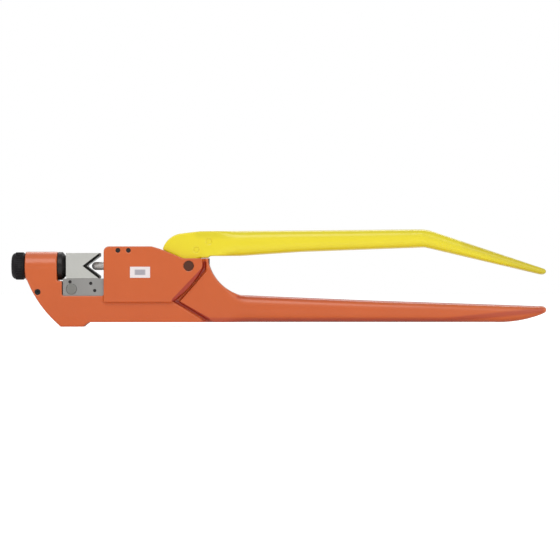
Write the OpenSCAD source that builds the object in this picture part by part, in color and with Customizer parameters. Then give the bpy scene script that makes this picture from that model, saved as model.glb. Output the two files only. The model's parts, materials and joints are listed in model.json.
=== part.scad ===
// Long-handled indent crimping tool for bare cable lugs.
// The frame is upright: +X runs from the head to the handle tips, +Z is up, thickness is along Y.
// The origin is the centre of the front foot's underside.

/* [Overall] */
// Height of the ram axis above the foot
axis_z = 72.6; // [70:0.1:90]
// Pivot to the handle tips
handle_reach = 427; // [340:1:520]
// Post face to the ram housing face (length of the throat)
throat_l = 56; // [50:0.5:70]
// Width of the ram housing
housing_w = 42; // [40:0.5:56]
// Width of the beam and of the fixed handle
beam_w = 34; // [28:0.5:38]

/* [Head] */
// Foot centre to the post face
post_x = 18; // [14:0.5:24]
// Diameter of the adjuster boss
boss_d = 34.4; // [30:0.1:40]
// Length of the adjuster boss
boss_l = 38.4; // [32:0.1:48]
// Diameter of the adjusting knob
knob_d = 33; // [28:0.5:42]
// Length of the adjusting knob
knob_l = 16.6; // [12:0.1:24]
// Diameter of the adjuster screw's plain shaft
shaft_d = 16; // [12:0.1:18]
// Diameter of the adjuster screw's threaded end
thread_d = 12; // [9:0.1:13]
// Die travel for the knob's one full turn
thread_pitch = 1.5; // [1:0.1:1.6]
// Width of the foot along Y
foot_w = 34.6; // [30:0.1:50]
// Length of the foot along X
foot_l = 26; // [20:0.5:32]

/* [Die] */
// Length of the die block along X
die_l = 40; // [34:0.5:46]
// Height of the die block above the bed
die_h = 30.5; // [28:0.1:34]
// Width of the die block
die_w = 30; // [26:0.5:34]
// Depth of the V groove
vee_depth = 15.4; // [12:0.5:20]
// Opening angle of the V groove
vee_angle = 75; // [60:1:100]
// Height of the bed that carries the die
bed_h = 20.6; // [16:0.1:24]
// Width of the rail under the die
rail_w = 12; // [10:0.5:14]
// Depth of the rail in the bed
rail_h = 8; // [6:0.5:10]

/* [Ram] */
// Diameter of the ram
ram_d = 22; // [18:0.1:24]
// Diameter of the ram's spring collar
collar_d = 30; // [28:0.1:32]
// Outer diameter of the ram sleeve
sleeve_d = 34; // [33:0.1:40]
// Length of the ram sleeve
sleeve_l = 50; // [48:0.5:54]
// Diameter of the punch
punch_d = 9.6; // [8:0.1:12]
// Gap from the punch nose to the bottom of the V, handles closed
nose_gap = 5.4; // [4.2:0.1:9]
// Width of the ram's fork
fork_w = 18; // [15:0.5:19]
// Diameter of the cam roller
roller_d = 16; // [13:0.5:17]
// Width of the cam roller
roller_w = 10; // [8:0.5:11]
// Diameter of the roller pin
roller_pin_d = 8; // [6:0.1:9]

/* [Lever] */
// Diameter of the main pivot bolt
pivot_d = 12; // [10:0.1:13]
// Ram housing face to the main pivot
pivot_setback = 101.5; // [98:0.5:112]
// Roller centre to the pivot, handles closed
cam_reach = 36; // [34:0.5:38]
// Ram travel for one radian of handle swing
cam_lift = 13; // [10:0.5:13.5]
// Opening swing of the upper handle, in degrees
swing = 70; // [50:1:70]
// Outer width of the upper handle
lever_w = 27; // [24:0.5:28]
// Wall of the upper handle
lever_t = 3.5; // [2.5:0.1:4]

/* [Fits] */
// Radial clearance of a running fit
run_fit = 0.05; // [0.02:0.01:0.09]
// Gap between curved faces that roll or rub
face_gap = 0.3; // [0.2:0.05:0.5]
// Side gap beside the upper handle in its slot
side_gap = 0.5; // [0.3:0.1:1]

/* [Hidden] */
$fn = 72;

ORANGE = "#d3693b";
YELLOW = "#f0e034";
STEEL = "#c4c5bd";
DARK = "#242122";
BRONZE = "#b08a4a";

// Levels and stations
beam_bottom = 5.4;
beam_top = axis_z - 40.8;
die_z = axis_z - 15;
floor_z = die_z - bed_h;
bed_z = floor_z;
step_z = axis_z - boss_d / 2 - 0.6;
head_x = -post_x;
face_x = head_x + throat_l;
boss_x = head_x - boss_l;
pivot_x = face_x + pivot_setback;
tip_x = pivot_x + handle_reach;
housing_top = axis_z + sleeve_d / 2 + 6.4;
cheek_top = axis_z + 9.1;
under_z = cheek_top + 2.9;

// Moving pieces at rest, handles closed
nose_l = 10.8;
bed_in = 7.2;
die_x = head_x + nose_l;
vee_x = die_x + die_l - vee_depth;
punch_x = vee_x + nose_gap;
ram_x = face_x + 4;
land_l = 12;
collar_l = 4;
stroke = cam_lift * swing * PI / 180;
collar_x = face_x + sleeve_l - collar_l - stroke - 3.6;
roller_x = pivot_x - cam_reach;
fork_r = 6.5;
fork_gap = roller_w + 2 * face_gap;
tongue_h = roller_d;
slot_w = lever_w + 2 * side_gap;
lever_in = lever_w - 2 * lever_t;
cam_w = roller_w;
hub_r = pivot_d / 2 + 5.5;
slot_r = 43;
lobe_r = 32;
pin_d = 5.4;
pin_z = axis_z + sleeve_d / 2 - 1.2 + pin_d / 2;
pin_xs = [face_x + 17.2, face_x + 29.7];

// Points on an arc through three points, the ends included
function arc3(p, q, r, n = 10) =
    let (ax = q[0] - p[0], ay = q[1] - p[1], bx = r[0] - p[0], by = r[1] - p[1],
         d = 2 * (ax * by - ay * bx),
         ux = (by * (ax * ax + ay * ay) - ay * (bx * bx + by * by)) / d,
         uy = (ax * (bx * bx + by * by) - bx * (ax * ax + ay * ay)) / d,
         c = [p[0] + ux, p[1] + uy], rad = norm([ux, uy]),
         a0 = atan2(p[1] - c[1], p[0] - c[0]), a2 = atan2(r[1] - c[1], r[0] - c[0]),
         turn = d > 0 ? (a2 - a0 + 720) % 360 : -((a0 - a2 + 720) % 360))
    [for (i = [0:n]) c + rad * [cos(a0 + turn * i / n), sin(a0 + turn * i / n)]];

// A side profile given thickness along Y
module plate(w) rotate([90, 0, 0]) linear_extrude(w, center = true) children();

// A cylinder on the ram axis between two stations
module along(x0, x1, d) translate([x0, 0, axis_z]) rotate([0, 90, 0]) cylinder(h = x1 - x0, d = d);

// A cylinder across the tool
module cross(x, z, d, w, y = 0)
    translate([x, y, z]) rotate([90, 0, 0]) cylinder(h = w, d = d, center = true);

// A cap screw standing along +Z, its head's underside at z = 0
module cap_screw(d, len, head_h) {
    difference() {
        union() {
            translate([0, 0, -len]) cylinder(h = len + 0.5, d = d);
            cylinder(h = head_h, d = 1.7 * d);
        }
        translate([0, 0, head_h * 0.45]) cylinder(h = head_h, d = 0.95 * d, $fn = 6);
    }
}

// ---- Frame ----
ear_x = pivot_x + 23.5;
heel = arc3([boss_x + 1, axis_z - 12.6], [head_x - 21, 28], [-13.4, 0]);
sweep_curve = arc3([ear_x, cheek_top - 5], [pivot_x + 37, 52.2], [pivot_x + 61, 37.8], 12);
tip_curve = concat([[tip_x - 38, 25.6]], arc3([tip_x - 7, 24.4], [tip_x, 20.2], [tip_x - 4, 15.4], 6),
    arc3([tip_x - 6, 14.4], [tip_x - 28, 8], [tip_x - 62, beam_bottom], 8));

module frame_outline() polygon(concat(heel, [[13.4, 0], [20.4, beam_bottom], [pivot_x + 90, beam_bottom],
    [pivot_x + 90, 36.6]], [for (i = [12:-1:0]) sweep_curve[i]], [[ear_x, cheek_top], [pivot_x, cheek_top],
    [face_x + 10, axis_z], [face_x, floor_z], [head_x + 6, floor_z], [head_x + 6, step_z],
    [head_x, step_z], [head_x, axis_z]]));

module beam_outline() polygon(concat(heel, [[13.4, 0], [20.4, beam_bottom], [pivot_x + 21, beam_bottom],
    [pivot_x - 19, beam_top - 1.5], [face_x, beam_top - 1.5], [face_x, floor_z], [head_x + 6, floor_z],
    [head_x + 6, step_z], [head_x, step_z], [head_x, axis_z], [boss_x + 0.8, axis_z]]));

module housing_outline() polygon(concat([[face_x, beam_top - 2.5], [face_x, housing_top - 6]],
    arc3([face_x, housing_top - 6], [face_x + 1.8, housing_top - 1.8], [face_x + 6, housing_top], 6),
    arc3([pivot_x - 44, housing_top], [pivot_x - 27, axis_z + 17.6], [pivot_x - 7, cheek_top], 8),
    [[pivot_x + 16, cheek_top]],
    arc3([pivot_x + 17, axis_z - 1], [pivot_x - 4, axis_z - 30], [pivot_x - 21, beam_top - 2.5], 8)));

module grip_outline() polygon(concat([[pivot_x + 29, beam_bottom], [pivot_x - 11, 30],
    [pivot_x + 21, axis_z - 6], [pivot_x + 19.5, cheek_top], [ear_x, cheek_top]], sweep_curve,
    [[pivot_x + 220, 31.2]], tip_curve));

module lever_slot() {
    plate(slot_w) polygon(concat([[pivot_x, axis_z]],
        [for (a = [88:8.625:226]) [pivot_x + slot_r * cos(a), axis_z + slot_r * sin(a)]]));
    plate(cam_w + 2) polygon(concat([[pivot_x, axis_z]],
        [for (a = [215:10:305]) [pivot_x + lobe_r * cos(a), axis_z + lobe_r * sin(a)]]));
    plate(slot_w) polygon([[pivot_x - 2, axis_z], [pivot_x - 2, axis_z + slot_r], [ear_x - 9, axis_z + slot_r],
        [ear_x - 9, axis_z + 6], [pivot_x + 12, axis_z]]);
    cross(pivot_x, axis_z, 2 * hub_r + 7, slot_w);
}

module frame_casting() color(ORANGE) difference() {
    union() {
        plate(beam_w - 10) frame_outline();
        plate(beam_w) beam_outline();
        plate(housing_w) housing_outline();
        plate(beam_w) grip_outline();
        along(boss_x, head_x, boss_d);
        translate([-foot_l / 2, -foot_w / 2, 0]) cube([foot_l, foot_w, beam_bottom + 4]);
    }
    // the fixed handle is a channel, open underneath
    plate(beam_w - 2 * channel_t) polygon([[pivot_x + 34, -1], [tip_x - 66, -1], [tip_x - 66, 20],
        [pivot_x + 64, 30.6], [pivot_x + 34, 30.6]]);
    along(face_x - 1, face_x + sleeve_l, sleeve_d);
    along(face_x + sleeve_l - 1, pivot_x - lobe_r, collar_d + 1);
    lever_slot();
    along(boss_x - 1, head_x + 1, boss_bush_d);
    cross(pivot_x, axis_z, pivot_d, housing_w + 2);
    for (x = pin_xs) cross(x, pin_z, pin_d, housing_w + 2);
    cross(cross_x, cross_z, cross_d, beam_w + 2);
    for (x = bed_screw_xs) {
        translate([x, 0, 0]) cylinder(h = floor_z + 1, d = bed_screw_d);
        translate([x, 0, -1]) cylinder(h = 15, d = 1.7 * bed_screw_d + 0.6);
    }
    translate([boss_x - 1, 0, axis_z - detent_r]) rotate([0, 90, 0]) cylinder(h = detent_l + 1, d = ball_d + 0.2);
    bumper_seat(0.05);
    translate([ear_x - 4, 0, cheek_top - 16]) cylinder(h = 12, d = bumper_screw_d);
}

detent_r = 13.8;
ball_d = 4;
boss_bush_d = min(shaft_d + 6, 2 * detent_r - ball_d - 1.6);
cross_x = head_x - 23;
cross_z = 41.5;
cross_d = 7;
bed_screw_d = 6;
bed_screw_xs = [foot_l / 2 + 7, face_x - 5];
detent_l = 20;
channel_t = 4;
bumper_screw_d = 4;

module bumper_seat(grow) translate([ear_x - 7.5 - grow, -9, cheek_top - 7 - grow])
    cube([7.5 + 2 * grow + 0.8, 18, 7 + 2 * grow]);

// ---- Pieces fixed in the frame ----
module ram_sleeve() color(BRONZE) difference() {
    along(face_x, face_x + sleeve_l, sleeve_d);
    along(face_x - 1, face_x + sleeve_l + 1, ram_d + 2 * run_fit);
    along(face_x + land_l, face_x + sleeve_l + 1, collar_d + 2 * run_fit);
    for (x = pin_xs) cross(x, pin_z, pin_d, housing_w);
}

module sleeve_pins() color(DARK) for (x = pin_xs) cross(x, pin_z, pin_d, housing_w - 0.6);

module die_bed() color("#8f8d8a") difference() {
    translate([head_x + bed_in, -die_w / 2, bed_z]) cube([throat_l - bed_in, die_w, bed_h]);
    translate([head_x + 5, -rail_w / 2 - run_fit, die_z - rail_h - face_gap])
        cube([face_x - head_x, rail_w + 2 * run_fit, rail_h + 2]);
    for (x = bed_screw_xs) translate([x, 0, bed_z - 1]) cylinder(h = 11, d = bed_screw_d);
    for (s = [-1, 1]) cross(head_x + 17.4, bed_z + 8, 13, 3, s * die_w / 2);
}

module bed_screws() color(DARK) for (x = bed_screw_xs)
    translate([x, 0, 14]) rotate([180, 0, 0]) cap_screw(bed_screw_d, floor_z + 9 - 14, 6);

module boss_bush() color(BRONZE) difference() {
    along(boss_x + 0.4, head_x - 0.4, boss_bush_d);
    along(boss_x - 1, head_x + 1, shaft_d + 2 * run_fit);
}

ball_x = boss_x + ball_d / 2 - 0.15;
module detent_ball() color(STEEL) translate([ball_x, 0, axis_z - detent_r]) sphere(d = ball_d);

module detent_spring() color(STEEL) translate([ball_x + ball_d / 2, 0, axis_z - detent_r]) rotate([0, 90, 0])
    difference() {
        cylinder(h = detent_l - ball_d + 0.15, d = ball_d - 0.4);
        translate([0, 0, -1]) cylinder(h = detent_l, d = ball_d - 1.6);
    }

module cross_screw() color(DARK) difference() {
    cross(cross_x, cross_z, cross_d, beam_w - 1);
    for (s = [-1, 1]) cross(cross_x, cross_z, cross_d * 0.5, 4, s * (beam_w / 2 - 1), $fn = 6);
}

module label_plate() color("#e9e2e2") translate([face_x + 31.6, -housing_w / 2 - 0.6, axis_z - 14.2])
    cube([24, 0.6, 13.2]);

module bumper() color(DARK) difference() {
    bumper_seat(0);
    translate([ear_x - 4, 0, cheek_top - 8]) cylinder(h = 9, d = bumper_screw_d);
    translate([ear_x - 4, 0, cheek_top - 2.5]) cylinder(h = 3, d = 8);
}

module bumper_screw() color(STEEL) translate([ear_x - 4, 0, cheek_top - 2.5]) cap_screw(bumper_screw_d, 12, 2);

module pivot_bolt() color(DARK) {
    cross(pivot_x, axis_z, pivot_d, housing_w + 1.5, 0.75);
    difference() {
        cross(pivot_x, axis_z, pivot_d * 1.5, 5, housing_w / 2 + 1.5 + 2.5);
        cross(pivot_x, axis_z, pivot_d * 0.7, 4, housing_w / 2 + 1.5 + 5, $fn = 6);
    }
}

module pivot_washer() color(STEEL) difference() {
    cross(pivot_x, axis_z, pivot_d * 1.8, 1.5, housing_w / 2 + 0.75);
    cross(pivot_x, axis_z, pivot_d, 4, housing_w / 2);
}

// ---- Adjuster: turns in the boss, does not travel ----
knob_x = boss_x - knob_l;
thread_x = die_x + 12;
pin_s = 4;

module adjuster_knob() color(DARK) difference() {
    translate([knob_x, 0, axis_z]) rotate([0, 90, 0]) rotate_extrude() polygon(concat([[0, 0]],
        [for (a = [0:15:90]) [knob_d / 2 - 6 + 6 * sin(a), 6 - 6 * cos(a)]],
        [[knob_d / 2, knob_l - 0.8], [knob_d / 2 - 0.8, knob_l - 0.2], [0, knob_l - 0.2]]));
    along(knob_x + 4, boss_x + 1, shaft_d);
    for (i = [0:7]) translate([boss_x - 0.2, 0, axis_z]) rotate([45 * i, 0, 0])
        translate([0, 0, -detent_r]) sphere(d = ball_d + 2 * face_gap);
    cross(knob_x + 10, axis_z, pin_s, knob_d + 2);
}

module knob_pin() color(STEEL) cross(knob_x + 10, axis_z, pin_s, knob_d - 1);

module adjuster_screw() color(STEEL) difference() {
    union() {
        along(knob_x + 4, head_x + nose_l - 2, shaft_d);
        along(head_x, thread_x, thread_d);
    }
    cross(knob_x + 10, axis_z, pin_s, knob_d + 2);
    cross(head_x + 3.5, axis_z, pin_s, boss_d);
}

module nose_collar() color(DARK) difference() {
    translate([head_x + 0.2, 0, axis_z]) rotate([0, 90, 0]) rotate_extrude() polygon([[0, 0],
        [boss_d / 2 - 1, 0], [boss_d / 2 - 0.4, 0.8], [boss_d / 2 - 0.4, 5.5], [boss_d / 2 - 6, nose_l - 0.5],
        [0, nose_l - 0.5]]);
    along(head_x, head_x + nose_l - 2, shaft_d);
    along(head_x, head_x + nose_l + 1, thread_d);
    cross(head_x + 3.5, axis_z, pin_s, boss_d + 2);
}

module collar_pin() color(STEEL) cross(head_x + 3.5, axis_z, pin_s, boss_d - 3);

// ---- Die: slides on the bed ----
vee_half = vee_depth * tan(vee_angle / 2);

module die_block() color(STEEL) difference() {
    plate(die_w) polygon([[die_x, die_z + 0.2], [die_x + die_l, die_z + 0.2],
        [die_x + die_l, axis_z - vee_half], [vee_x + 1, axis_z - 1], [vee_x + 1, axis_z + 1],
        [die_x + die_l, axis_z + vee_half], [die_x + die_l, die_z + die_h], [die_x, die_z + die_h]]);
    along(die_x - 1, thread_x + thread_pitch + 2, thread_d + 2 * run_fit);
    for (x = rail_screw_xs) translate([x, 0, die_z - 1]) cylinder(h = 9, d = rail_screw_d);
}

rail_screw_d = 4;
rail_screw_xs = [die_x + 6, die_x + die_l - 6];

module die_rail() color("#a3a29d") difference() {
    translate([die_x + 0.5, -rail_w / 2, die_z - rail_h]) cube([die_l - 1, rail_w, rail_h + 0.2]);
    for (x = rail_screw_xs) {
        translate([x, 0, die_z - rail_h - 1]) cylinder(h = rail_h + 3, d = rail_screw_d);
        translate([x, 0, die_z - rail_h - 1]) cylinder(h = 4, d = 1.7 * rail_screw_d);
    }
}

module rail_screws() color(DARK) for (x = rail_screw_xs)
    translate([x, 0, die_z - rail_h + 3]) rotate([180, 0, 0]) cap_screw(rail_screw_d, rail_h + 4, 2.8);

// ---- Ram ----
module ram() color(STEEL) difference() {
    union() {
        along(ram_x, collar_x + 1, ram_d);
        along(collar_x, collar_x + collar_l, collar_d);
        plate(fork_w) polygon(concat([[collar_x + 1, axis_z - tongue_h / 2], [roller_x, axis_z - fork_r]],
            [for (a = [-75:15:75]) [roller_x + fork_r * cos(a), axis_z + fork_r * sin(a)]],
            [[roller_x, axis_z + fork_r], [collar_x + 1, axis_z + tongue_h / 2]]));
    }
    along(ram_x - 1, ram_x + 20, punch_d);
    cross(ram_x + 8, axis_z, 4, ram_d + 2);
    translate([roller_x - roller_d / 2 - 0.8, -fork_gap / 2, axis_z - tongue_h])
        cube([3 * roller_d, fork_gap, 2 * tongue_h]);
    cross(roller_x, axis_z, roller_pin_d, fork_w + 2);
}

module punch() color(STEEL) difference() {
    union() {
        translate([punch_x + punch_d / 2, 0, axis_z]) sphere(d = punch_d);
        along(punch_x + punch_d / 2, ram_x + 20, punch_d);
    }
    cross(ram_x + 8, axis_z, 4, ram_d + 2);
}

module punch_pin() color(DARK) cross(ram_x + 8, axis_z, 4, ram_d - 1.6);

spring_wire = 2.2;
spring_x0 = face_x + land_l + 0.2;
spring_x1 = collar_x - 0.2;
spring_turns = 5;
spring_r = (ram_d + collar_d) / 4;
spring_pitch = (spring_x1 - spring_x0 - spring_wire) / spring_turns;

module return_spring() color(STEEL) {
    for (i = [0:spring_turns]) translate([spring_x0 + spring_wire / 2 + i * spring_pitch, 0, axis_z])
        rotate([0, 90, 0]) rotate_extrude() translate([spring_r, 0]) circle(d = spring_wire, $fn = 16);
    for (s = [-1, 1]) translate([spring_x0 + spring_wire / 2, 0, axis_z + s * spring_r])
        rotate([0, 90, 0]) cylinder(h = spring_turns * spring_pitch, d = spring_wire * 0.7);
}

module roller_pin() color(DARK) cross(roller_x, axis_z, roller_pin_d, fork_w);

module roller() color(STEEL) difference() {
    cross(roller_x, axis_z, roller_d, roller_w);
    cross(roller_x, axis_z, roller_pin_d + 2 * run_fit, roller_w + 2);
}

// ---- Upper handle and its cam ----
dowel_d = 6;
dowels = [[pivot_x + 9, cheek_top + 10], [pivot_x + 24, cheek_top + 20]];
bend_x = pivot_x + 0.663 * handle_reach;
top_z = housing_top + 20.5;
nose_tip = [pivot_x - 31.5, axis_z + 19.6];
// A lever point seen from the pivot, at its distance and bearing
function polar(r, a) = [pivot_x + r * cos(a), axis_z + r * sin(a)];

module lever_outline() polygon(concat([for (a = [-60:-15:-225]) polar(hub_r + 1, a)], [nose_tip],
    arc3(nose_tip, [pivot_x - 23, axis_z + 33], [pivot_x - 10, top_z - 5], 8),
    [[pivot_x + 13, top_z - 2.4], [bend_x - 4, top_z], [bend_x + 4, top_z - 1]],
    arc3([tip_x - 4, axis_z - 2.6], [tip_x, axis_z - 7], [tip_x - 5, axis_z - 10.4], 6),
    [[bend_x, top_z - 21.6], [pivot_x + 133, under_z + 4.8], [pivot_x + 61, under_z],
     [ear_x + 1, under_z], [ear_x - 0.5, cheek_top + 0.4], [pivot_x + 14, cheek_top + 0.4],
     [pivot_x + 9, cheek_top - 1]]));

module lever_hollow() {
    plate(lever_in) polygon([[pivot_x - 60, axis_z - 30], [pivot_x - 60, top_z + 9], [pivot_x - 3, top_z + 9],
        [pivot_x - 3, top_z - lever_t - 4], [bend_x - 4, top_z - lever_t], [tip_x - 30, axis_z + 4.8],
        [tip_x - 30, axis_z + 3], [bend_x, top_z - 21.6 + lever_t], [pivot_x + 61, under_z + lever_t],
        [ear_x + 6, under_z + lever_t], [ear_x + 6, under_z - 20]]);
}

module upper_handle() color(YELLOW) difference() {
    plate(lever_w) lever_outline();
    lever_hollow();
    cross(pivot_x, axis_z, pivot_d + 2 * run_fit, lever_w + 2);
    for (p = dowels) cross(p[0], p[1], dowel_d, lever_w + 2);
}

// Cam edge: the roller centre's spiral, moved in by the roller's radius and the face gap
function spiral(a) = cam_reach - cam_lift * (180 - a) * PI / 180;
function cam_edge(a) = let (r = spiral(a), k = cam_lift, n = norm([r, k]), in = roller_d / 2 + face_gap)
    [pivot_x + r * cos(a) - in * (r * cos(a) + k * sin(a)) / n,
     axis_z + r * sin(a) - in * (r * sin(a) - k * cos(a)) / n];

module lever_cam() color("#6f6f6c") difference() {
    union() {
        plate(cam_w) polygon(concat([[pivot_x, axis_z]], [for (a = [180 - swing - 4:4:192]) cam_edge(a)],
            [polar(lobe_r - 6, 205), polar(lobe_r - 11, 220), polar(hub_r + 2, 240), polar(hub_r - 1, 265)]));
        cross(pivot_x, axis_z, 2 * hub_r, lever_in);
        plate(lever_in) polygon([[pivot_x + 2.5, axis_z + 4], [pivot_x + 2.5, top_z - lever_t - 4.6],
            [ear_x + 5, top_z - lever_t - 4.4], [ear_x + 5, under_z + 1], [pivot_x + 13, under_z + 1],
            [pivot_x + 9, axis_z + 4]]);
    }
    cross(pivot_x, axis_z, bush_d, lever_in + 2);
    for (p = dowels) cross(p[0], p[1], dowel_d, lever_in + 2);
}

bush_d = pivot_d + 4;
module pivot_bush() color(BRONZE) difference() {
    cross(pivot_x, axis_z, bush_d, lever_in);
    cross(pivot_x, axis_z, pivot_d + 2 * run_fit, lever_in + 2);
}

module cam_dowels() color(STEEL) for (p = dowels) cross(p[0], p[1], dowel_d, lever_w - 0.4);

frame_casting();
ram_sleeve();
sleeve_pins();
die_bed();
bed_screws();
boss_bush();
detent_ball();
detent_spring();
cross_screw();
label_plate();
bumper();
bumper_screw();
pivot_bolt();
pivot_washer();
adjuster_knob();
knob_pin();
adjuster_screw();
nose_collar();
collar_pin();
die_block();
die_rail();
rail_screws();
ram();
punch();
punch_pin();
return_spring();
roller_pin();
roller();
upper_handle();
lever_cam();
cam_dowels();
pivot_bush();
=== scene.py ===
# %% [markdown]
# # A long-handled indent crimper, finished for the eye
# The frame gives every machined piece at its real size and place. This lesson adds what the eye
# reads: soft cast edges, rounded handles, a fluted knob, a coiled spring and worn enamel.

# %% Load the frame
import json
import math
import bmesh
import bpy
from mathutils import Matrix, Vector


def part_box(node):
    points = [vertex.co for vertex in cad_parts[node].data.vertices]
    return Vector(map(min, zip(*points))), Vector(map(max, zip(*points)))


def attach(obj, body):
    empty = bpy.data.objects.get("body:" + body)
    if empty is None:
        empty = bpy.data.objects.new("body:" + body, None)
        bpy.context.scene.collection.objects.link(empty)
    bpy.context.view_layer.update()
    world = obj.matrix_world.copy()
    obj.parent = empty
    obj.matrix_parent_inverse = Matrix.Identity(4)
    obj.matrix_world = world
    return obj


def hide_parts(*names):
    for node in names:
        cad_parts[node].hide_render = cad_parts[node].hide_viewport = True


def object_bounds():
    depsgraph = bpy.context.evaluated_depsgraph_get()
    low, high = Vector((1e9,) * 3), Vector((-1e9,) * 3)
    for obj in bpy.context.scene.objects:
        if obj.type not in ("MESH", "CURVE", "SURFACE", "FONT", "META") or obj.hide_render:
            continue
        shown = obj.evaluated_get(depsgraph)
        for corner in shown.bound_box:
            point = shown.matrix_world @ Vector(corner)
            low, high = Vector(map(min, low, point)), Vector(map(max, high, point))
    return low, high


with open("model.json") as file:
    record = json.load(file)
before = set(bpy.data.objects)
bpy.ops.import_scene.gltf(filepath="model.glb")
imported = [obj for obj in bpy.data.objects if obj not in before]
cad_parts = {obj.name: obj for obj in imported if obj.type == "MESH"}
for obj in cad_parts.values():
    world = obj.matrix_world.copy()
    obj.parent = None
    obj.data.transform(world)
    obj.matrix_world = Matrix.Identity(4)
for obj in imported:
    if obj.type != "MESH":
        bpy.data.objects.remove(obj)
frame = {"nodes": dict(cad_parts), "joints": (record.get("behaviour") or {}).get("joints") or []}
cad_box = [[float(v) for v in corner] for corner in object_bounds()]
nodes = frame["nodes"]
print("nodes", len(nodes), "box", cad_box)

MM = 0.001


def span(node):
    """The lowest and highest corner of a node, as vectors."""
    low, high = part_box(node)
    return Vector(low), Vector(high)


PIVOT = next(j for j in frame["joints"] if j["name"] == "handle_pivot")["pos_m"]
PIVOT_X, AXIS_Z = PIVOT[0], PIVOT[2]
print("pivot", PIVOT_X, AXIS_Z)

# %% [markdown]
# ## Shared shader groups
# Enamel, steel and plastic all need a fine relief, and paint also needs worn edges and a little dust.
# Each effect is one node group with named inputs, so every finish places it with its own values.

# %% Group helpers
def new_group(name, inputs, outputs):
    group = bpy.data.node_groups.new(name, "ShaderNodeTree")
    for label, kind, value in inputs:
        socket = group.interface.new_socket(label, in_out="INPUT", socket_type=kind)
        socket.default_value = value
    for label, kind in outputs:
        group.interface.new_socket(label, in_out="OUTPUT", socket_type=kind)
    return group, group.nodes.new("NodeGroupInput"), group.nodes.new("NodeGroupOutput")


def add(tree, kind, links=None, **settings):
    """Adds a node, sets its properties, and links or sets its inputs by name or number."""
    node = tree.nodes.new(kind)
    for key, value in settings.items():
        setattr(node, key, value)
    for key, value in (links or {}).items():
        if isinstance(value, bpy.types.NodeSocket):
            tree.links.new(value, node.inputs[key])
        else:
            node.inputs[key].default_value = value
    return node


def math_node(tree, operation, a, b=0.0):
    return add(tree, "ShaderNodeMath", {0: a, 1: b}, operation=operation).outputs[0]


# %% Relief: the orange peel of enamel, the grain of plastic
F, V = "NodeSocketFloat", "NodeSocketVector"
relief, r_in, r_out = new_group("fine_relief", [("Size", F, 400.0), ("Stretch", V, (1, 1, 1)),
                                               ("Depth", F, 0.0001)], [("Normal", V), ("Mask", F)])
coords = add(relief, "ShaderNodeTexCoord")
spread = add(relief, "ShaderNodeVectorMath", {0: coords.outputs["Object"], 1: r_in.outputs["Stretch"]},
             operation="MULTIPLY")
noise = add(relief, "ShaderNodeTexNoise", {"Vector": spread.outputs[0], "Scale": r_in.outputs["Size"],
                                          "Detail": 3.0})
bump = add(relief, "ShaderNodeBump", {"Height": noise.outputs["Fac"], "Distance": r_in.outputs["Depth"],
                                     "Strength": 1.0})
relief.links.new(bump.outputs[0], r_out.inputs["Normal"])
relief.links.new(noise.outputs["Fac"], r_out.inputs["Mask"])

# %% Wear: a mask that is bright on raised edges, broken up by noise
wear, w_in, w_out = new_group("edge_wear", [("Start", F, 0.52), ("End", F, 0.6), ("Breakup", F, 120.0)],
                              [("Mask", F)])
geometry = add(wear, "ShaderNodeNewGeometry")
ramp = add(wear, "ShaderNodeMapRange", {"Value": geometry.outputs["Pointiness"],
                                       "From Min": w_in.outputs["Start"], "From Max": w_in.outputs["End"]})
wear_coords = add(wear, "ShaderNodeTexCoord")
broken = add(wear, "ShaderNodeTexNoise", {"Vector": wear_coords.outputs["Object"],
                                         "Scale": w_in.outputs["Breakup"], "Detail": 4.0})
mask = math_node(wear, "MULTIPLY", ramp.outputs[0], broken.outputs["Fac"])
wear.links.new(mask, w_out.inputs["Mask"])

# %% Dust: thin, only where a face looks up
dust, d_in, d_out = new_group("dust_film", [("Amount", F, 0.3), ("Size", F, 30.0)], [("Mask", F)])
up = add(dust, "ShaderNodeSeparateXYZ", {0: add(dust, "ShaderNodeNewGeometry").outputs["Normal"]})
patch = add(dust, "ShaderNodeTexNoise", {"Vector": add(dust, "ShaderNodeTexCoord").outputs["Object"],
                                        "Scale": d_in.outputs["Size"], "Detail": 5.0})
lit = math_node(dust, "MAXIMUM", up.outputs["Z"], 0.0)
film = math_node(dust, "MULTIPLY", math_node(dust, "MULTIPLY", lit, patch.outputs["Fac"]),
                 d_in.outputs["Amount"])
dust.links.new(film, d_out.inputs["Mask"])
print("groups", [g.name for g in bpy.data.node_groups])


# %% [markdown]
# ## Finishes
# One function makes a finish: a base colour that drifts slightly over the piece, a relief for the
# normal, and wear and dust where the piece would have them. Plain values sit on the shader itself.

# %% The finish maker
def place(tree, group, **values):
    node = add(tree, "ShaderNodeGroup")
    node.node_tree = group
    for key, value in values.items():
        node.inputs[key].default_value = value
    return node


def mixed(tree, factor, a, b):
    node = add(tree, "ShaderNodeMix", data_type="RGBA")
    for index, value in ((0, factor), (6, a), (7, b)):
        if isinstance(value, bpy.types.NodeSocket):
            tree.links.new(value, node.inputs[index])
        else:
            node.inputs[index].default_value = value
    return node.outputs[2]


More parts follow.
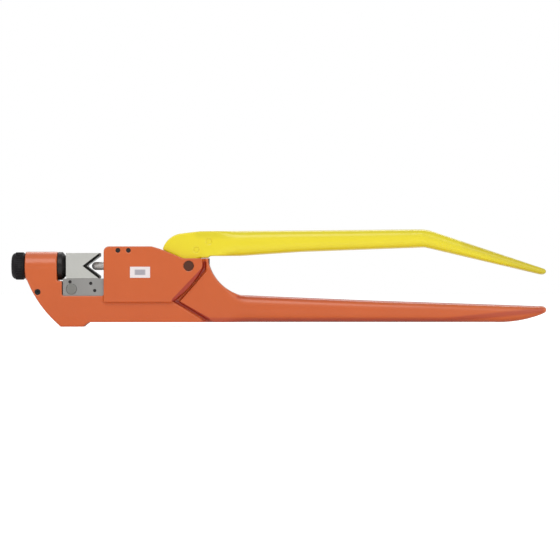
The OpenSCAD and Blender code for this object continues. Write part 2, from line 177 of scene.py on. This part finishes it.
def finish(name, colour, drift, rough, metal=0.0, coat=0.0, size=400.0, stretch=(1, 1, 1), depth=0.00005,
           worn=None, dusty=0.0, rough_span=0.08, gloss=0.5):
    """A material whose colour, roughness and normal all come from object space."""
    made = bpy.data.materials.new(name)
    made.use_nodes = True
    tree = made.node_tree
    shader = tree.nodes["Principled BSDF"]
    grain = place(tree, relief, Size=size, Stretch=stretch, Depth=depth)
    broad = add(tree, "ShaderNodeTexNoise", {"Vector": add(tree, "ShaderNodeTexCoord").outputs["Object"],
                                            "Scale": 25.0, "Detail": 3.0})
    tone = mixed(tree, broad.outputs["Fac"], (*colour, 1), (*drift, 1))
    if worn:
        tone = mixed(tree, place(tree, wear, Start=worn[1], End=worn[2]).outputs["Mask"], tone, (*worn[0], 1))
    if dusty:
        tone = mixed(tree, place(tree, dust, Amount=dusty).outputs["Mask"], tone, (0.55, 0.52, 0.48, 1))
    tree.links.new(tone, shader.inputs["Base Color"])
    roughness = add(tree, "ShaderNodeMapRange", {"Value": grain.outputs["Mask"], "To Min": rough - rough_span,
                                                "To Max": rough + rough_span})
    tree.links.new(roughness.outputs[0], shader.inputs["Roughness"])
    tree.links.new(grain.outputs["Normal"], shader.inputs["Normal"])
    shader.inputs["Metallic"].default_value = metal
    shader.inputs["Specular IOR Level"].default_value = gloss
    shader.inputs["Coat Weight"].default_value = coat
    shader.inputs["Coat Roughness"].default_value = 0.12
    return made


# %% Paints, metals, plastics
orange = finish("orange_enamel", (0.58, 0.100, 0.012), (0.64, 0.118, 0.017), 0.36, coat=0.35, size=260,
                depth=0.00004, worn=((0.80, 0.27, 0.12), 0.53, 0.62), dusty=0.12)
yellow = finish("yellow_enamel", (0.81, 0.67, 0.006), (0.86, 0.73, 0.010), 0.34, coat=0.35, size=260,
                depth=0.00004, worn=((0.93, 0.86, 0.20), 0.53, 0.62), dusty=0.08)
bright = finish("ground_steel", (0.62, 0.62, 0.58), (0.74, 0.74, 0.70), 0.34, metal=1.0, size=900,
                stretch=(0.08, 1, 1), depth=0.00002)
# The bed's steel is a darker copy of the die's steel: painted shade for the bed's recessed face, also used on
# the rail.
shaded_bed_grey = finish("milled_steel", (0.30, 0.295, 0.285), (0.42, 0.415, 0.40), 0.46, metal=1.0, size=500,
                  stretch=(1, 1, 0.15), depth=0.00004)
oxide = finish("black_oxide", (0.018, 0.017, 0.017), (0.030, 0.028, 0.028), 0.42, metal=0.55, size=700,
               depth=0.00003)
plastic = finish("black_moulding", (0.008, 0.007, 0.008), (0.013, 0.011, 0.012), 0.50, size=900,
                 depth=0.00005, gloss=0.22)
browned = finish("browned_steel", (0.085, 0.030, 0.018), (0.110, 0.040, 0.024), 0.5, metal=0.3, size=700,
                 depth=0.00003, gloss=0.25)
satin = finish("satin_steel", (0.74, 0.73, 0.71), (0.82, 0.81, 0.79), 0.42, metal=0.2, size=900,
               stretch=(0.1, 1, 1), depth=0.00002)
rubber = finish("black_rubber", (0.013, 0.012, 0.012), (0.022, 0.020, 0.020), 0.7, size=600, depth=0.00006)
bronze = finish("turned_bronze", (0.42, 0.25, 0.09), (0.50, 0.31, 0.12), 0.35, metal=1.0, size=900,
                stretch=(1, 0.1, 0.1), depth=0.00002)
spot_grey = finish("spot_faced_steel", (0.24, 0.24, 0.225), (0.31, 0.31, 0.29), 0.5, metal=1.0, size=500,
                   depth=0.00004)
print("finishes", len(bpy.data.materials))

# %% [markdown]
# ## The die's V gets a painted dark band, the label a grey field
# The walls of the V show dark where they reflect dark surroundings, so the steel's colour is darkened in a
# band along the V's edges:
# a painted dark reflection. The band is a distance worked out from the object's own coordinates. The plate is
# white with a bare grey field, again from a plain rectangle test.

# %% Die steel with a painted dark band along the V edges
VEE_DEPTH = 15.4 * MM
VEE_ANGLE = 75
VEE_X = span("die_block")[1].x - VEE_DEPTH
VEE_SLOPE = math.tan(math.radians(VEE_ANGLE / 2))


def object_axes(tree):
    separate = add(tree, "ShaderNodeSeparateXYZ", {0: add(tree, "ShaderNodeTexCoord").outputs["Object"]})
    return [separate.outputs[i] for i in range(3)]


def band(tree, value, centre, half, soft):
    """1 where value lies within half of centre, falling to 0 over soft."""
    away = math_node(tree, "ABSOLUTE", math_node(tree, "SUBTRACT", value, centre))
    return add(tree, "ShaderNodeMapRange", {"Value": away, "From Min": half, "From Max": half + soft,
                                           "To Min": 1.0, "To Max": 0.0}).outputs[0]


def recolour(made, mask, colour):
    """Lays a plain colour over a finish where the mask is bright."""
    tree = made.node_tree
    shader = tree.nodes["Principled BSDF"]
    under = shader.inputs["Base Color"].links[0].from_socket
    tree.links.new(mixed(tree, mask, under, (*colour, 1)), shader.inputs["Base Color"])


die_steel = bright.copy()
die_steel.name = "die_steel"
tree = die_steel.node_tree
x, y, z = object_axes(tree)
from_axis = math_node(tree, "ABSOLUTE", math_node(tree, "SUBTRACT", z, AXIS_Z))
rise = math_node(tree, "DIVIDE", from_axis, VEE_SLOPE)
ahead = math_node(tree, "SUBTRACT", math_node(tree, "SUBTRACT", x, VEE_X), rise)
# Painted dark reflection: a near-black band along both edges of the V.
recolour(die_steel, band(tree, ahead, -2.2 * MM, 2.4 * MM, 0.5 * MM), (0.02, 0.02, 0.018))

# %% Plain white plate with a bare grey field
plate = finish("white_plate", (0.80, 0.74, 0.75), (0.84, 0.79, 0.79), 0.3, coat=0.3, size=500, depth=0.00002)
tree = plate.node_tree
x, y, z = object_axes(tree)
plate_low, plate_high = span("label_plate")
centre = (plate_low + plate_high) / 2
field = math_node(tree, "MULTIPLY", band(tree, x, centre.x, 5.5 * MM, 1.5 * MM),
                  band(tree, z, centre.z, 2.6 * MM, 1.2 * MM))
recolour(plate, field, (0.40, 0.38, 0.42))
print("die V at", round(VEE_X, 4), "plate centre", centre)

# %% [markdown]
# ## Painted shade in the groove and along the rolled edges
# The colour is darkened in the groove behind the housing, under the lip of the fixed handle and along the
# handles' edges and tips:
# painted shade where these surfaces turn away from the light. Each stretch of shade is a stretch of line in
# the side view, given in millimetres.

# %% A group that is bright near a stretch of line
near, source, sink = new_group("near_line", [("Start", V, (0, 0, 0)), ("End", V, (1, 0, 0)),
                                             ("Half", F, 0.002), ("Soft", F, 0.002)], [("Mask", F)])


def vector_node(tree, operation, a, b=None, scale=None):
    node = add(tree, "ShaderNodeVectorMath", operation=operation)
    for index, value in ((0, a), (1, b), (3, scale)):
        if isinstance(value, bpy.types.NodeSocket):
            tree.links.new(value, node.inputs[index])
        elif value is not None:
            node.inputs[index].default_value = value
    return node.outputs["Value" if operation in ("DOT_PRODUCT", "LENGTH") else "Vector"]


flat = vector_node(near, "MULTIPLY", add(near, "ShaderNodeTexCoord").outputs["Object"], (1, 0, 1))
to_point = vector_node(near, "SUBTRACT", flat, source.outputs["Start"])
to_end = vector_node(near, "SUBTRACT", source.outputs["End"], source.outputs["Start"])
share = math_node(near, "DIVIDE", vector_node(near, "DOT_PRODUCT", to_point, to_end),
                  vector_node(near, "DOT_PRODUCT", to_end, to_end))
share = math_node(near, "MINIMUM", math_node(near, "MAXIMUM", share, 0.0), 1.0)
off = vector_node(near, "LENGTH", vector_node(near, "SUBTRACT", to_point,
                                              vector_node(near, "SCALE", to_end, None, share)))
reach = math_node(near, "ADD", source.outputs["Half"], source.outputs["Soft"])
fade = add(near, "ShaderNodeMapRange", {"Value": off, "From Min": source.outputs["Half"], "From Max": reach,
                                        "To Min": 1.0, "To Max": 0.0})
near.links.new(fade.outputs[0], sink.inputs["Mask"])


def painted_shade_lines(made, shade_lines, strength, colour):
    """Lays painted shade, a deeper colour, along bent lines: their (x, z) points, half width and soft edge,
    all in mm.
    """
    tree = made.node_tree
    mask = 0.0
    for points, half, soft in shade_lines:
        for (x0, z0), (x1, z1) in zip(points, points[1:]):
            shade_stretch = place(tree, near, Start=(x0 * MM, 0, z0 * MM), End=(x1 * MM, 0, z1 * MM), Half=half * MM,
                        Soft=soft * MM)
            mask = math_node(tree, "MAXIMUM", shade_stretch.outputs["Mask"], mask)
    recolour(made, math_node(tree, "MULTIPLY", mask, strength), colour)


FIXED_TOP = ((199, 35.5), (552, 25.3))
FIXED_LIP = ((158, 7.4), (442, 7.4))
FIXED_TIP = ((442, 7.4), (560, 19.6))
GROOVE_UPPER = ((158.4, 76), (157.4, 69), (121.9, 31.8))
GROOVE_LOWER = ((121.9, 31.8), (162.4, 9))
UPPER_TOP = ((152, 111.6), (422, 114))
UPPER_BEND = ((422, 113), (566, 66))
UPPER_TIP = ((470, 99), (566, 65))
EDGE_SHADE_ORANGE, GROOVE_SHADE_RED = (0.43, 0.050, 0.014), (0.36, 0.022, 0.005)
EDGE_SHADE_YELLOW, TIP_SHADE_OCHRE = (0.70, 0.60, 0.006), (0.56, 0.44, 0.010)
# Painted shade on the fixed handle: darker along its top edge, under its bottom lip and across its bent tip.
painted_shade_lines(orange, [(FIXED_TOP, 0.8, 3.0), (FIXED_LIP, 1.6, 3.0), (FIXED_TIP, 1.6, 2.6)], 0.8, EDGE_SHADE_ORANGE)
# Painted shade in the groove behind the housing, the darkest of the lines.
painted_shade_lines(orange, [(GROOVE_UPPER, 2.0, 0.9), (GROOVE_LOWER, 1.8, 0.9)], 0.92, GROOVE_SHADE_RED)
# Painted shade on the upper handle: darker along its top edge and bend, and a darker ochre at the tip.
painted_shade_lines(yellow, [(UPPER_TOP, 3.0, 5.0), (UPPER_BEND, 2.0, 6.0)], 0.7, EDGE_SHADE_YELLOW)
painted_shade_lines(yellow, [(UPPER_TIP, 1.0, 6.0)], 0.6, TIP_SHADE_OCHRE)
print("paint runs on", orange.name, yellow.name)

# %% [markdown]
# ## Machined pieces
# A CAD node keeps its shape. Real machined edges are broken, and a broken edge is what catches the
# light, so each node with a bevel size is welded and given a small bevel as modifiers, and every node gets
# its finish.

# %% Broken edges and finishes on the machined pieces
def dress(node, material, bevel=0.0):
    piece = nodes[node]
    piece.data.materials.clear()
    piece.data.materials.append(material)
    if bevel:
        weld = piece.modifiers.new("weld", "WELD")
        weld.merge_threshold = 0.00001
        edge = piece.modifiers.new("broken_edge", "BEVEL")
        edge.width = bevel
        edge.segments = 2
        edge.limit_method = "ANGLE"
        edge.angle_limit = math.radians(35)
        edge.use_clamp_overlap = True
        edge.harden_normals = False


for name, material, bevel in (
        ("die_block", die_steel, 0.0005), ("die_bed", shaded_bed_grey, 0.0004), ("die_rail", shaded_bed_grey, 0.0002),
        ("punch", satin, 0.0), ("punch_pin", oxide, 0.0), ("ram", bright, 0.0003), ("roller", bright, 0.0003),
        ("roller_pin", oxide, 0.0002), ("ram_sleeve", bronze, 0.0002), ("sleeve_pins", oxide, 0.0003),
        ("boss_bush", bronze, 0.0002), ("detent_ball", bright, 0.0), ("detent_spring", bright, 0.0),
        ("bed_screws", oxide, 0.0002), ("rail_screws", oxide, 0.0002), ("cross_screw", oxide, 0.0003),
        ("label_plate", plate, 0.0001), ("bumper", rubber, 0.0006), ("bumper_screw", bright, 0.0002),
        ("pivot_bolt", browned, 0.0004), ("pivot_washer", bright, 0.0002), ("knob_pin", oxide, 0.0),
        ("adjuster_screw", bright, 0.0003), ("nose_collar", oxide, 0.0005), ("collar_pin", oxide, 0.0),
        ("lever_cam", oxide, 0.0004), ("cam_dowels", yellow, 0.0002), ("pivot_bush", bronze, 0.0002)):
    dress(name, material, bevel)
print("dressed CAD nodes")

# %% [markdown]
# ## The castings
# A casting has no sharp edge: the mould's draft and fillets round everything. The machined solid is
# remeshed in small even voxels and relaxed, so corners and inside corners turn into fillets of
# about a millimetre and a half. Then the handles' sides are drawn in towards top and bottom, which
# gives the rounded grip that the hand closes on.

# %% Helpers: copy, remesh, round
def clean_copy(node, name):
    """A new object with the node's mesh, its loose triangles joined."""
    mesh = nodes[node].data.copy()
    mesh.name = name
    shell = bmesh.new()
    shell.from_mesh(mesh)
    bmesh.ops.remove_doubles(shell, verts=shell.verts, dist=0.00001)
    shell.to_mesh(mesh)
    shell.free()
    made = bpy.data.objects.new(name, mesh)
    bpy.context.collection.objects.link(made)
    return made


def applied(piece):
    """Turns the piece's live modifiers into a plain mesh."""
    evaluated = piece.evaluated_get(bpy.context.evaluated_depsgraph_get())
    mesh = bpy.data.meshes.new_from_object(evaluated)
    mesh.name = piece.name
    piece.modifiers.clear()
    piece.data = mesh
    return piece


def voxel_cast(piece, voxel, relax):
    mod = piece.modifiers.new("voxels", "REMESH")
    mod.mode = "VOXEL"
    mod.voxel_size = voxel
    mod.use_smooth_shade = True
    smooth = piece.modifiers.new("relax", "SMOOTH")
    smooth.factor = 0.5
    smooth.iterations = relax
    return applied(piece)


def between(value, low, high):
    """0 below low, 1 above high, and an eased step between them."""
    t = min(max((value - low) / (high - low), 0.0), 1.0)
    return t * t * (3 - 2 * t)


def profile(points):
    """A height that follows straight stretches through (x, z) points."""
    def height(x):
        if x <= points[0][0]:
            return points[0][1]
        for (x0, z0), (x1, z1) in zip(points, points[1:]):
            if x <= x1:
                return z0 + (z1 - z0) * (x - x0) / (x1 - x0)
        return points[-1][1]
    return height


def edges_of(piece, start, end, step):
    """The piece's lowest and highest point along X, read from its own mesh."""
    cells = {}
    for vertex in piece.data.vertices:
        if start <= vertex.co.x <= end:
            key = int((vertex.co.x - start) / step)
            low, high = cells.get(key, (9.0, -9.0))
            cells[key] = (min(low, vertex.co.z), max(high, vertex.co.z))
    stations = sorted(cells)
    return (profile([(start + (k + 0.5) * step, cells[k][0]) for k in stations]),
            profile([(start + (k + 0.5) * step, cells[k][1]) for k in stations]))


def round_sides(piece, start, full, end, power, step=0.004):
    """Draws the sides in towards the top and bottom edges, as on a forged handle."""
    low, high = edges_of(piece, start, end, step)
    for vertex in piece.data.vertices:
        x, y, z = vertex.co
        if x <= start:
            continue
        half = max((high(x) - low(x)) / 2, 0.0005)
        u = min(abs(z - (high(x) + low(x)) / 2) / half, 1.0)
        shrink = (1 - u ** power) ** (1 / power)
        vertex.co.y = y * (1 - between(x, start, full) * (1 - max(shrink, 0.25)))


def thin(piece, ratio):
    mod = piece.modifiers.new("thin", "DECIMATE")
    mod.ratio = ratio
    return applied(piece)


# %% The frame casting with its fixed handle
TIP_X = cad_box[1][0]
casting = voxel_cast(clean_copy("frame_casting", "casting"), 0.0011, 4)
round_sides(casting, PIVOT_X + 0.040, PIVOT_X + 0.075, TIP_X, 3.2)
thin(casting, 0.45)
casting.data.materials.clear()
casting.data.materials.append(orange)
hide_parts("frame_casting")
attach(casting, "frame")
print("casting", len(casting.data.polygons), "faces")

# %% The upper handle
handle = voxel_cast(clean_copy("upper_handle", "handle"), 0.0010, 4)
round_sides(handle, PIVOT_X + 0.030, PIVOT_X + 0.060, TIP_X, 3.0)
thin(handle, 0.45)
handle.data.materials.clear()
handle.data.materials.append(yellow)
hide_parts("upper_handle")
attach(handle, "lever")
print("handle", len(handle.data.polygons), "faces")

# %% [markdown]
# ## What repeats: flutes, screw heads and the coil
# Three Geometry Nodes trees make the repeated shapes. One sets copies of a small part around a ring,
# one sets them at the points of a mesh, and one winds a wire into a coil. Each ends in Realize
# Instances and Set Material, and the result is turned into a plain mesh.

# %% Tree helpers
def geometry_tree(name, inputs):
    tree = bpy.data.node_groups.new(name, "GeometryNodeTree")
    tree.interface.new_socket("Geometry", in_out="INPUT", socket_type="NodeSocketGeometry")
    for label, kind, value in inputs:
        socket = tree.interface.new_socket(label, in_out="INPUT", socket_type=kind)
        if value is not None:
            socket.default_value = value
    tree.interface.new_socket("Geometry", in_out="OUTPUT", socket_type="NodeSocketGeometry")
    return tree, tree.nodes.new("NodeGroupInput"), tree.nodes.new("NodeGroupOutput")


def close_tree(tree, geometry, material, out):
    """Realize Instances, then Set Material, then out."""
    real = add(tree, "GeometryNodeRealizeInstances", {0: geometry})
    painted = add(tree, "GeometryNodeSetMaterial", {0: real.outputs[0], "Material": material})
    tree.links.new(painted.outputs[0], out.inputs[0])


def socket_id(tree, label):
    return next(i.identifier for i in tree.interface.items_tree
                if i.name == label and i.in_out == "INPUT")


def grow(name, tree, base=None, **values):
    """Runs a tree on a base mesh and returns the result as a plain mesh object."""
    mesh = base or bpy.data.meshes.new(name + "_seed")
    piece = bpy.data.objects.new(name, mesh)
    bpy.context.collection.objects.link(piece)
    mod = piece.modifiers.new("tree", "NODES")
    mod.node_group = tree
    for label, value in values.items():
        mod[socket_id(tree, label)] = value
    return applied(piece)


# %% Ring tree: copies of one part turned about the X axis
OBJ, INT, MAT = "NodeSocketObject", "NodeSocketInt", "NodeSocketMaterial"
ring, g_in, g_out = geometry_tree("ring_of_parts", [("Part", OBJ, None), ("Count", INT, 36),
                                                    ("Centre", V, (0, 0, 0)), ("Finish", MAT, None)])
seats = add(ring, "GeometryNodeMeshLine", {"Count": g_in.outputs["Count"],
                                           "Start Location": g_in.outputs["Centre"],
                                           "Offset": (0, 0, 0)})
step = math_node(ring, "DIVIDE", 2 * math.pi, g_in.outputs["Count"])
turn = math_node(ring, "MULTIPLY", add(ring, "GeometryNodeInputIndex").outputs[0], step)
about_x = add(ring, "ShaderNodeCombineXYZ", {"X": turn})
info = add(ring, "GeometryNodeObjectInfo", {0: g_in.outputs["Part"]})
spread = add(ring, "GeometryNodeInstanceOnPoints", {"Points": seats.outputs[0],
                                                    "Instance": info.outputs["Geometry"],
                                                    "Rotation": about_x.outputs[0]})
close_tree(ring, spread.outputs[0], g_in.outputs["Finish"], g_out)

# %% Scatter tree: copies of one object at every point of a mesh
dots, g_in, g_out = geometry_tree("parts_at_points", [("Part", OBJ, None), ("Finish", MAT, None)])
info = add(dots, "GeometryNodeObjectInfo", {0: g_in.outputs["Part"]})
spread = add(dots, "GeometryNodeInstanceOnPoints", {"Points": g_in.outputs["Geometry"],
                                                    "Instance": info.outputs["Geometry"]})
close_tree(dots, spread.outputs[0], g_in.outputs["Finish"], g_out)

# %% Coil tree: a wire wound along X
coil, g_in, g_out = geometry_tree("wound_coil", [("Turns", F, 5.0), ("Radius", F, 0.013),
                                                 ("Length", F, 0.012), ("Wire", F, 0.0011),
                                                 ("Start", V, (0, 0, 0)), ("Finish", MAT, None)])
spiral = add(coil, "GeometryNodeCurveSpiral", {"Resolution": 48, "Rotations": g_in.outputs["Turns"],
                                               "Start Radius": g_in.outputs["Radius"],
                                               "End Radius": g_in.outputs["Radius"],
                                               "Height": g_in.outputs["Length"]})
wire = add(coil, "GeometryNodeCurvePrimitiveCircle", {"Resolution": 12, "Radius": g_in.outputs["Wire"]})
wound = add(coil, "GeometryNodeCurveToMesh", {0: spiral.outputs[0], 1: wire.outputs[0], "Fill Caps": True})
laid = add(coil, "GeometryNodeTransform", {0: wound.outputs[0], "Translation": g_in.outputs["Start"],
                                           "Rotation": (0, math.pi / 2, 0)})
close_tree(coil, laid.outputs[0], g_in.outputs["Finish"], g_out)
print("trees", ring.name, dots.name, coil.name)

# %% [markdown]
# ## The knob
# The knob is a turned black moulding with a rounded outer face and shallow flutes for the fingers.
# The body is spun from its profile. The ribs between the flutes are one small rounded bar, set
# around the rim by the ring tree.

# %% Lathe and bar helpers
def lathe(name, line, x_axis_z, sides=96):
    """Spins (x, radius) points about the tool's axis."""
    mesh = bpy.data.meshes.new(name)
    shell = bmesh.new()
    rows = []
    for x, r in line:
        if r <= 0:
            rows.append([shell.verts.new((x, 0, x_axis_z))])
            continue
        rows.append([shell.verts.new((x, r * math.sin(2 * math.pi * i / sides),
                                      x_axis_z + r * math.cos(2 * math.pi * i / sides)))
                     for i in range(sides)])
    for a, b in zip(rows, rows[1:]):
        for i in range(sides):
            j = (i + 1) % sides
            corner = [a[i % len(a)], a[j % len(a)], b[j % len(b)], b[i % len(b)]]
            shell.faces.new(list(dict.fromkeys(corner)))
    bmesh.ops.recalc_face_normals(shell, faces=shell.faces)
    for face in shell.faces:
        face.smooth = True
    shell.to_mesh(mesh)
    shell.free()
    made = bpy.data.objects.new(name, mesh)
    bpy.context.collection.objects.link(made)
    return made


def arc(cx, cr, radius, start, end, steps):
    """(x, r) points round a quarter or less of a circle, angles in degrees."""
    return [(cx + radius * math.cos(math.radians(start + (end - start) * i / steps)),
             cr + radius * math.sin(math.radians(start + (end - start) * i / steps)))
            for i in range(steps + 1)]


def rounded_bar(name, low, high, radius):
    """A small box with bevelled edges, used as a part for the trees."""
    mesh = bpy.data.meshes.new(name)
    shell = bmesh.new()
    bmesh.ops.create_cube(shell, size=1.0)
    for vertex in shell.verts:
        vertex.co = Vector([low[k] if vertex.co[k] < 0 else high[k] for k in range(3)])
    bmesh.ops.bevel(shell, geom=shell.edges, offset=radius, segments=2, profile=0.5, affect="EDGES")
    shell.to_mesh(mesh)
    shell.free()
    return bpy.data.objects.new(name, mesh)


def joined(name, pieces):
    """Joins plain mesh objects into one."""
    shell = bmesh.new()
    for piece in pieces:
        shell.from_mesh(piece.data)
    mesh = bpy.data.meshes.new(name)
    shell.to_mesh(mesh)
    shell.free()
    mesh.materials.append(pieces[0].data.materials[0])
    made = bpy.data.objects.new(name, mesh)
    bpy.context.collection.objects.link(made)
    for piece in pieces:
        bpy.data.objects.remove(piece)
    return made


# %% Knob body and ribs
knob_low, knob_high = span("adjuster_knob")
KNOB_R = (knob_high.z - knob_low.z) / 2
CORE_R = KNOB_R - 0.7 * MM
CORNER = 5.5 * MM
knob_body = lathe("knob_body", [(knob_low.x + 1.2 * MM, 0), (knob_low.x + 1.2 * MM, 6.6 * MM)]
                  + [(knob_low.x, 7.6 * MM)]
                  + arc(knob_low.x + CORNER, CORE_R - CORNER, CORNER, 180, 90, 8)
                  + [(knob_high.x - 1.6 * MM, CORE_R), (knob_high.x - 1.2 * MM, CORE_R - 0.8 * MM),
                     (knob_high.x - 0.4 * MM, CORE_R - 0.8 * MM), (knob_high.x - 0.2 * MM, CORE_R - 1.2 * MM),
                     (knob_high.x, 0)], AXIS_Z)
knob_body.data.materials.append(plastic)
RIBS = 40
rib_mid = (knob_low.x + knob_high.x) / 2 + 1.2 * MM
rib = rounded_bar("rib", (rib_mid - 4.6 * MM, -0.6 * MM, CORE_R - 0.6 * MM),
                  (rib_mid + 4.6 * MM, 0.6 * MM, KNOB_R - 0.02 * MM), 0.4 * MM)
ribs = grow("knob_ribs", ring, Part=rib, Count=RIBS, Centre=(0.0, 0.0, AXIS_Z), Finish=plastic)
knob = joined("knob", [knob_body, ribs])
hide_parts("adjuster_knob")
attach(knob, "adjuster")
print("knob", len(knob.data.polygons), "faces")

# %% [markdown]
# ## The return spring
# The frame holds the spring as a stack of rings. Here the same wire is wound as a real coil between
# the sleeve's land and the ram's collar.

# %% Wind the spring
spring_low, spring_high = span("return_spring")
WIRE = 1.1 * MM
spring_r = (spring_high.z - spring_low.z) / 2 - WIRE
spring = grow("coil_spring", coil, Turns=5.0, Radius=spring_r, Wire=WIRE,
              Length=spring_high.x - spring_low.x - 2 * WIRE,
              Start=(spring_low.x + WIRE, 0.0, AXIS_Z), Finish=bright)
for face in spring.data.polygons:
    face.use_smooth = True
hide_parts("return_spring")
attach(spring, "ram")
print("spring box", spring_low, spring_high)

# %% [markdown]
# ## Details on the bed
# Each side of the bed shows one large clamp screw and three dowel ends. A small turned part is made
# once and the scatter tree sets it at its places on both sides.

# %% Round parts whose axis runs across the tool
def button(name, radius, height, bevel, sides=40):
    """A round head along Y, centred on the origin."""
    mesh = bpy.data.meshes.new(name)
    shell = bmesh.new()
    bmesh.ops.create_cone(shell, cap_ends=True, segments=sides, radius1=radius, radius2=radius, depth=height)
    rim = [e for e in shell.edges if len(e.link_faces) == 2 and any(len(f.verts) > 4 for f in e.link_faces)]
    bmesh.ops.bevel(shell, geom=rim, offset=bevel, segments=2, profile=0.5, affect="EDGES")
    bmesh.ops.rotate(shell, verts=shell.verts, cent=(0, 0, 0),
                     matrix=Matrix.Rotation(math.pi / 2, 3, "X"))
    shell.to_mesh(mesh)
    shell.free()
    made = bpy.data.objects.new(name, mesh)
    return made


bed_low, bed_high = span("die_bed")
clamp_at = (bed_low.x + 10.2 * MM, bed_low.z + 8 * MM)
dowel_at = [(bed_low.x + 33.2 * MM, bed_low.z + 14.8 * MM), (bed_low.x + 38.0 * MM, bed_low.z + 6.2 * MM),
            (bed_low.x + 8.4 * MM, bed_low.z + 16.6 * MM)]


def seats_mesh(name, places, y_out):
    mesh = bpy.data.meshes.new(name)
    mesh.from_pydata([(x, side * y_out, z) for x, z in places for side in (-1, 1)], [], [])
    return mesh


clamp_head = button("clamp_head", 6.2 * MM, 1.9 * MM, 0.4 * MM)
clamps = grow("bed_clamp_screws", dots, seats_mesh("clamp_seats", [clamp_at], bed_high.y - 0.6 * MM),
              Part=clamp_head, Finish=spot_grey)
dowel_end = button("dowel_end", 2.0 * MM, 1.0 * MM, 0.25 * MM, sides=24)
dowel_ends = grow("bed_dowel_ends", dots, seats_mesh("dowel_seats", dowel_at, bed_high.y - 0.3 * MM),
                  Part=dowel_end, Finish=oxide)
for piece, slot_name in ((clamps, "bright_steel"), (dowel_ends, "black_steel")):
    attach(piece, "frame")
print("bed details", len(clamps.data.polygons), len(dowel_ends.data.polygons))

# %% [markdown]
# ## Floor, light and camera
# A plain pale floor in a white room, one big soft light above the camera, a fill and a rim. The lens
# is long, so the side view stays nearly free of perspective.

# %% Floor
def seen_or_not(tree, unseen, seen):
    """One value for rays from the camera, another for the light that falls on the tool."""
    ray = add(tree, "ShaderNodeLightPath")
    return add(tree, "ShaderNodeMapRange", {"Value": ray.outputs["Is Camera Ray"], "To Min": unseen,
                                           "To Max": seen}).outputs[0]


def ground(half=6.0):
    mesh = bpy.data.meshes.new("floor")
    corners = [(-half, -half, 0), (half, -half, 0), (half, half, 0), (-half, half, 0)]
    mesh.from_pydata(corners, [], [(0, 1, 2, 3)])
    floor = bpy.data.objects.new("floor", mesh)
    bpy.context.collection.objects.link(floor)
    paper = bpy.data.materials.new("pale_paper")
    paper.use_nodes = True
    shader = paper.node_tree.nodes["Principled BSDF"]
    shader.inputs["Base Color"].default_value = (0.93, 0.93, 0.93, 1)
    shader.inputs["Roughness"].default_value = 0.9
    shader.inputs["Emission Color"].default_value = (1, 1, 1, 1)
    seen = seen_or_not(paper.node_tree, 0.05, 0.65)
    paper.node_tree.links.new(seen, shader.inputs["Emission Strength"])
    mesh.materials.append(paper)


ground()

# %% Lights
MIDDLE = Vector(((cad_box[0][0] + cad_box[1][0]) / 2, 0, 0.05))


def area(name, place_at, size, power):
    light = bpy.data.lights.new(name, "AREA")
    light.shape = "RECTANGLE"
    light.size, light.size_y = size
    light.energy = power
    lamp = bpy.data.objects.new(name, light)
    lamp.location = place_at
    lamp.rotation_euler = (MIDDLE - Vector(place_at)).to_track_quat("-Z", "Y").to_euler()
    bpy.context.collection.objects.link(lamp)


area("key", (-0.2, -1.3, 1.3), (1.6, 1.0), 13)
area("fill", (1.2, -1.6, 0.5), (1.2, 1.2), 6)
area("rim", (0.3, 1.1, 1.2), (1.4, 0.5), 6)
world = bpy.data.worlds.new("studio")
world.use_nodes = True
world.node_tree.nodes["Background"].inputs[0].default_value = (1, 1, 1, 1)
glow = seen_or_not(world.node_tree, 0.52, 1.0)
world.node_tree.links.new(glow, world.node_tree.nodes["Background"].inputs[1])
bpy.context.scene.world = world

bpy.context.scene.view_settings.view_transform = "Standard"

# %% Camera: square to the side of the tool
camera_data = bpy.data.cameras.new("camera")
camera_data.sensor_width = 36
DISTANCE = 3.0
VIEW_WIDTH = 0.672
camera_data.lens = 36 * DISTANCE / VIEW_WIDTH
camera = bpy.data.objects.new("camera", camera_data)
camera.location = (0.2484, -DISTANCE, 0.0558)
camera.rotation_euler = (math.radians(90), 0, 0)
bpy.context.collection.objects.link(camera)
bpy.context.scene.camera = camera
